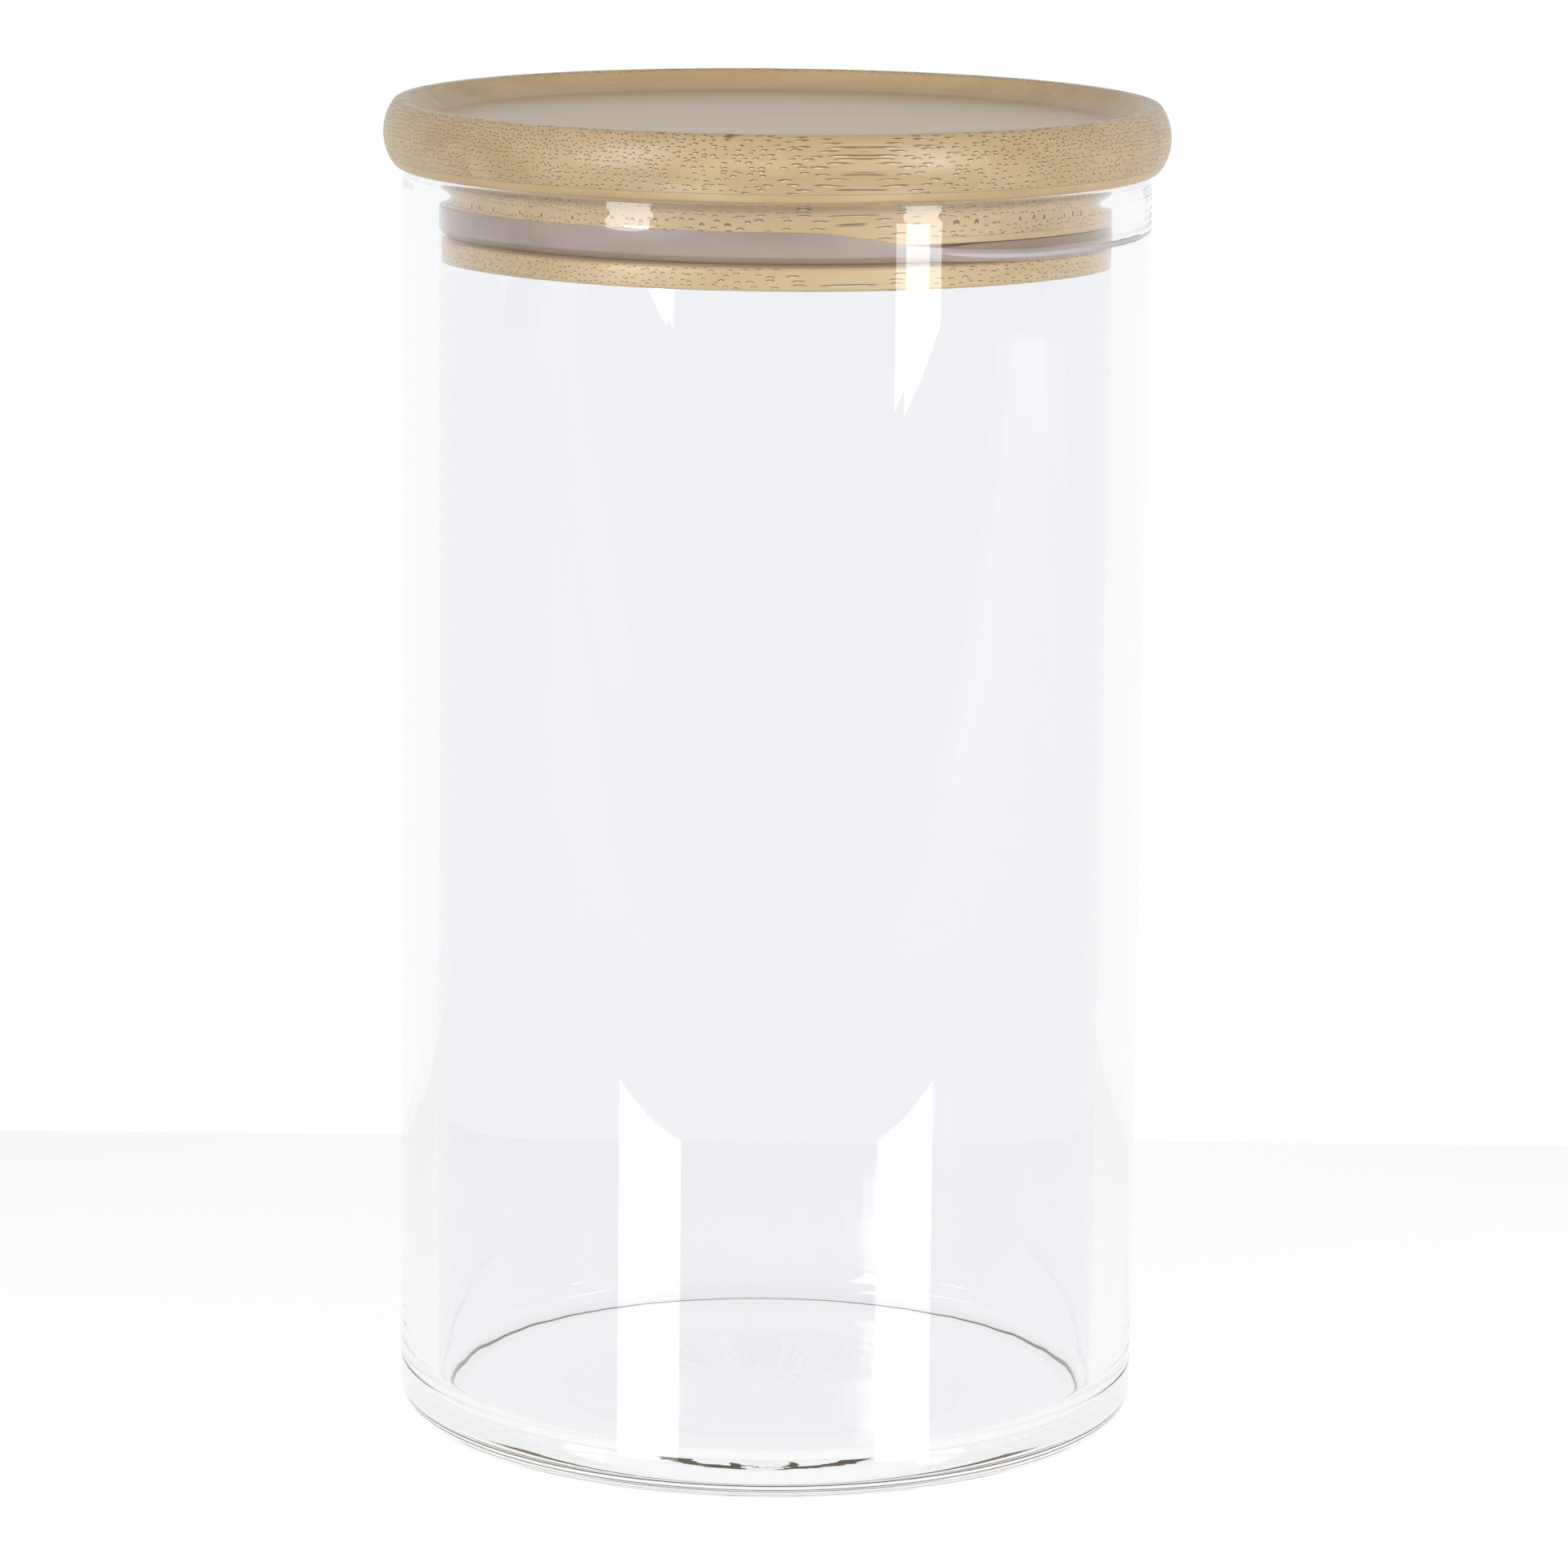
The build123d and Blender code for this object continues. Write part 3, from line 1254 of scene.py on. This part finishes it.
@dataclass
class Studio:
    """Pale floor, white surroundings, two soft panels, dim fills, two light cards and the camera.

    The floor ends a little behind the jar, and in front of it soon enough that the glass mirrors no lit
    patch of it.
    """

    camera_place: Triple = (0.0, -922.3, 259.4)
    camera_yaw: float = 0.1089
    camera_pitch: float = 10.611
    camera_roll: float = 0.590
    camera_lens: float = 159.06
    camera_sensor: float = 36.0
    floor_size: float = 6000.0
    floor_behind: float = 155.0
    floor_before: float = 330.0
    floor_colour: Colour = (0.9, 0.9, 0.9)
    floor_glow: float = 0.62
    ambient: float = 0.09
    panel_radiance: float = 8.3
    panel_distance: float = 950.0
    panel_top: float = 900.0
    left_panel: Panel = Panel(first=-51.6, last=-37.6, low=70.4, turned=1.0)
    right_panel: Panel = Panel(first=38.4, last=49.9, low=34.0, turned=0.0)
    fill_place: Triple = (250.0, -1250.0, 240.0)
    fill_size: Point = (1200.0, 360.0)
    fill_radiance: float = 3.1
    side_place: Triple = (1300.0, 100.0, 230.0)
    side_size: Point = (1000.0, 400.0)
    side_radiances: Point = (0.9, 1.9)
    card_radiance: float = 5.0
    left_card: tuple[Point, ...] = ((-32, -58), (-194, -211), (-100, -227), (-19, -64))
    right_card: tuple[Point, ...] = ((24, -62), (126, -214), (211, -193), (35, -55))
    card_height: float = 0.5
    light_bounces: int = 200

    def sees_background(self, graph: NodeGraph) -> bpy.types.NodeSocket:
        """Adds the test for rays that show the background.

        Args:
            graph: Graph of the floor's material or of the world.

        Returns:
            Output that is 1 for camera, glossy and transmission rays.
        """
        path = graph.add("ShaderNodeLightPath")
        both = graph.math("ADD", path.outputs["Is Camera Ray"], path.outputs["Is Glossy Ray"])
        return graph.math("ADD", both, path.outputs["Is Transmission Ray"], clamp=True)

    def surroundings(self) -> None:
        """Makes the world: soft light on surfaces, and white where it is seen."""
        world = bpy.data.worlds.new("white_surroundings")
        world.use_nodes = True
        graph = NodeGraph(world.node_tree)
        white = (1.0, 1.0, 1.0, 1.0)
        fill = graph.shader("ShaderNodeBackground", {"Color": white, "Strength": self.ambient})
        seen = graph.shader("ShaderNodeBackground", {"Color": white, "Strength": 1.0})
        graph.show(graph.blend(self.sees_background(graph), fill, seen), "ShaderNodeOutputWorld")
        bpy.context.scene.world = world

    def flat_sheet(self, name: str, corners: Sequence[Point], height: float) -> bpy.types.Object:
        """Makes a flat stage sheet.

        Args:
            name: Name of the sheet.
            corners: Its corners, in order.
            height: Its height above the table.

        Returns:
            The sheet.
        """
        mesh = bpy.data.meshes.new(name)
        places = [(x * MM, y * MM, height * MM) for x, y in corners]
        mesh.from_pydata(places, [], [tuple(range(len(corners)))])
        sheet = bpy.data.objects.new(name, mesh)
        bpy.context.scene.collection.objects.link(sheet)
        return sheet

    def floor(self) -> None:
        """Lays the pale floor, which reads white where it is lit and keeps the shadow."""
        half, front, back = self.floor_size / 2, -self.floor_before, self.floor_behind
        floor = self.flat_sheet("floor", ((-half, front), (half, front), (half, back), (-half, back)), 0)
        material, graph = new_material("pale_floor")
        matte = graph.shader("ShaderNodeBsdfDiffuse", {"Color": (*self.floor_colour, 1)})
        strength = graph.math("MULTIPLY", self.sees_background(graph), self.floor_glow)
        glow = graph.shader("ShaderNodeEmission", {"Strength": strength})
        total = graph.add("ShaderNodeAddShader")
        graph.feed(total.inputs[0], matte)
        graph.feed(total.inputs[1], glow)
        graph.show(total.outputs["Shader"])
        floor.data.materials.append(material)

    def light_cards(self) -> None:
        """Lays two bright cards in front of the foot that only reflections show."""
        material, graph = new_material("light_card")
        graph.show(graph.shader("ShaderNodeEmission", {"Strength": self.card_radiance}))
        for name, corners in (("left_card", self.left_card), ("right_card", self.right_card)):
            card = self.flat_sheet(name, corners, self.card_height)
            card.data.materials.append(material)
            card.visible_camera = False
            card.visible_diffuse = False
            card.visible_transmission = False
            card.visible_shadow = False

    def lamp(self, name: str, place: Vector, yaw: float, size: Point, radiance: float) -> bpy.types.Object:
        """Hangs an upright soft lamp that the camera itself doesn't see.

        Args:
            name: Name of the lamp.
            place: Its middle.
            yaw: Turn about the upright axis, where 0 shines along +Y.
            size: Width and height.
            radiance: Brightness of its face.

        Returns:
            The lamp.
        """
        light = bpy.data.lights.new(name, "AREA")
        light.shape = "RECTANGLE"
        light.size, light.size_y = (side * MM for side in size)
        light.energy = radiance * math.pi * light.size * light.size_y
        lamp = bpy.data.objects.new(name, light)
        lamp.location = place * MM
        lamp.rotation_euler = (math.radians(90), 0, yaw)
        lamp.visible_camera = False
        bpy.context.scene.collection.objects.link(lamp)
        return lamp

    def panels(self) -> None:
        """Hangs the two soft panels in front of the jar."""
        for name, panel in (("left_panel", self.left_panel), ("right_panel", self.right_panel)):
            first, last = math.radians(panel.first), math.radians(panel.last)
            middle = (first + last) / 2
            yaw = middle * panel.turned
            depth = self.panel_distance * math.cos(middle - yaw)
            sides = [depth * math.tan(angle - yaw) for angle in (first, last)]
            outward = Vector((math.sin(yaw), -math.cos(yaw), 0))
            along = Vector((math.cos(yaw), math.sin(yaw), 0))
            up = Vector((0, 0, (panel.low + self.panel_top) / 2))
            place = outward * depth + along * (sum(sides) / 2) + up
            size = (sides[1] - sides[0], self.panel_top - panel.low)
            self.lamp(name, place, yaw, size, self.panel_radiance)

    def fills(self) -> None:
        """Hangs a wide dim fill behind the camera and one at each side, which reflections don't show."""
        across, depth, height = self.side_place
        left, right = self.side_radiances
        quarter = math.pi / 2
        for name, place, yaw, size, radiance in (
            ("front_fill", self.fill_place, 0.0, self.fill_size, self.fill_radiance),
            ("left_fill", (-across, depth, height), -quarter, self.side_size, left),
            ("right_fill", (across, depth, height), quarter, self.side_size, right),
        ):
            fill = self.lamp(name, Vector(place), yaw, size, radiance)
            fill.visible_glossy = False
            fill.visible_transmission = False

    def camera(self) -> None:
        """Sets up the camera at the photo's angle."""
        data = bpy.data.cameras.new("camera")
        data.lens = self.camera_lens
        data.sensor_width = self.camera_sensor
        camera = bpy.data.objects.new("camera", data)
        yaw, pitch, roll = (math.radians(a) for a in (self.camera_yaw, self.camera_pitch, self.camera_roll))
        ahead = math.cos(pitch)
        forward = Vector((math.sin(yaw) * ahead, math.cos(yaw) * ahead, -math.sin(pitch)))
        level = Vector((math.cos(yaw), -math.sin(yaw), 0))
        up = level.cross(forward)
        right = level * math.cos(roll) + up * math.sin(roll)
        up = up * math.cos(roll) - level * math.sin(roll)
        axes = Matrix((right, up, -forward)).transposed()
        camera.matrix_world = Matrix.Translation(Vector(self.camera_place) * MM) @ axes.to_4x4()
        bpy.context.scene.collection.objects.link(camera)
        bpy.context.scene.camera = camera

    def build(self) -> None:
        """Sets up the whole studio."""
        scene = bpy.context.scene
        scene.view_settings.view_transform = "Standard"
        scene.cycles.max_bounces = self.light_bounces
        scene.cycles.transmission_bounces = self.light_bounces
        scene.cycles.glossy_bounces = self.light_bounces
        scene.cycles.transparent_max_bounces = self.light_bounces
        self.surroundings()
        self.floor()
        self.light_cards()
        self.panels()
        self.fills()
        self.camera()


def main() -> None:
    """Builds the jar, the lid, the seal and the studio, and reports each piece."""
    logging.basicConfig(level=logging.INFO, format="%(name)s: %(message)s")
    for assembly in (GlassJar(), BambooLid(), LipSeal()):
        for piece in assembly.build():
            log.info("%s is built with %d faces", piece.name, len(piece.data.polygons))
    Studio().build()


if __name__ == "__main__":
    main()
